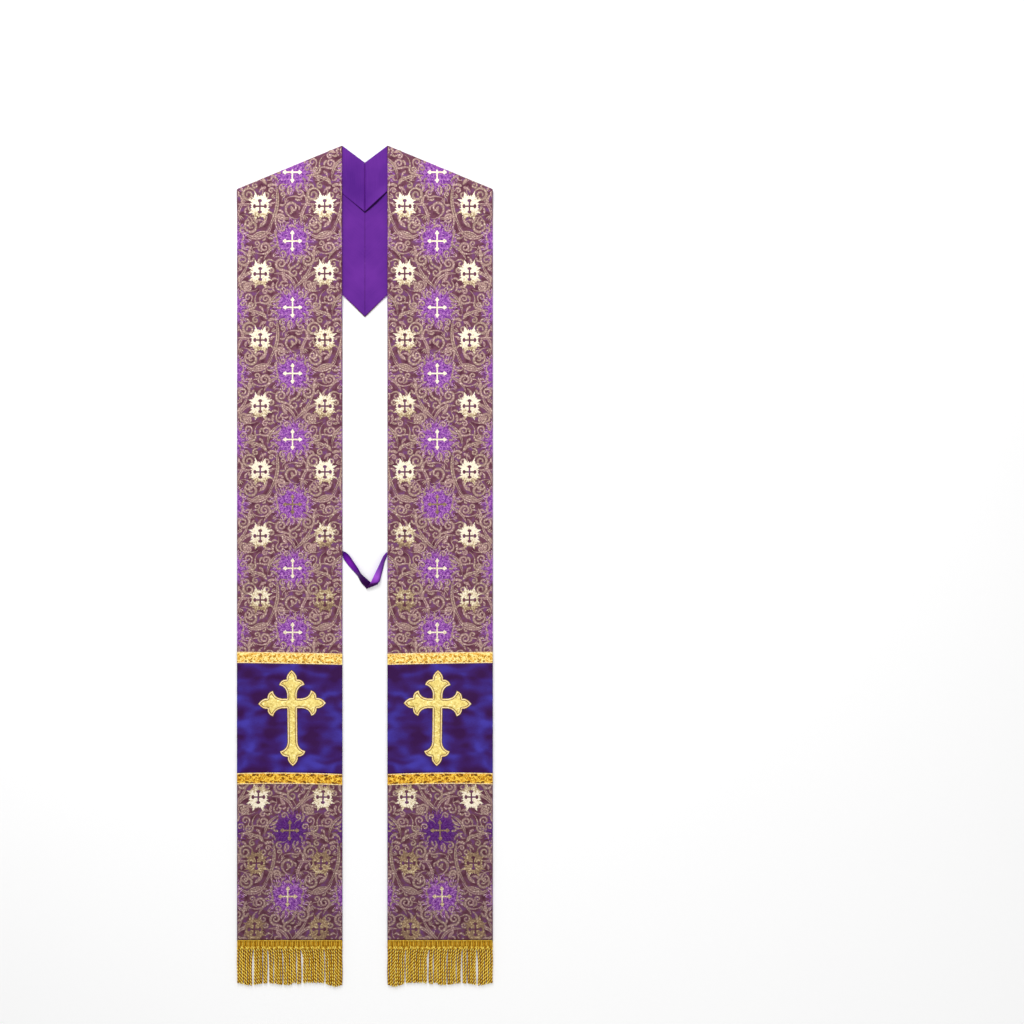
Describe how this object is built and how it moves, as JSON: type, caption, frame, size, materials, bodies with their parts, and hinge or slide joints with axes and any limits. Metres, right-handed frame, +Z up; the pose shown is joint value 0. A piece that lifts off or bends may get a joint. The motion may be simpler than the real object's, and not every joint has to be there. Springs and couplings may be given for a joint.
{
  "type": "clerical stole",
  "caption": "Purple brocade clerical stole laid flat, with lined strips, a mitred back yoke, blue orphrey bands, gold braid and crosses, bullion fringe and a joining ribbon.",
  "frame": {"origin": "the middle of the rectangle that the laid out stole covers, on the surface it lies on", "axes": "+Y along the panels towards the neck, +X across them to the right of the front view, +Z up out of the front side"},
  "size_m": [0.4094, 1.3465, 0.0116],
  "materials": {
    "brocade": "woven satin sheen",
    "lining": "satin",
    "orphrey": "satin",
    "braid": "metallic thread",
    "gold_cloth": "metallic thread",
    "fringe": "twisted rayon",
    "ribbon": "satin"
  },
  "bodies": {
    "root": {"brocade_left": "brocade", "brocade_right": "brocade", "lining_left": "lining", "lining_right": "lining", "neck_facing_left": "lining", "neck_facing_right": "lining", "orphrey_left": "orphrey", "orphrey_right": "orphrey", "braid_upper_left": "braid", "braid_upper_right": "braid", "braid_lower_left": "braid", "braid_lower_right": "braid", "cross_left": "gold_cloth", "cross_right": "gold_cloth", "fringe_left": "fringe", "fringe_right": "fringe", "ribbon": "ribbon"}
  },
  "joints": []
}
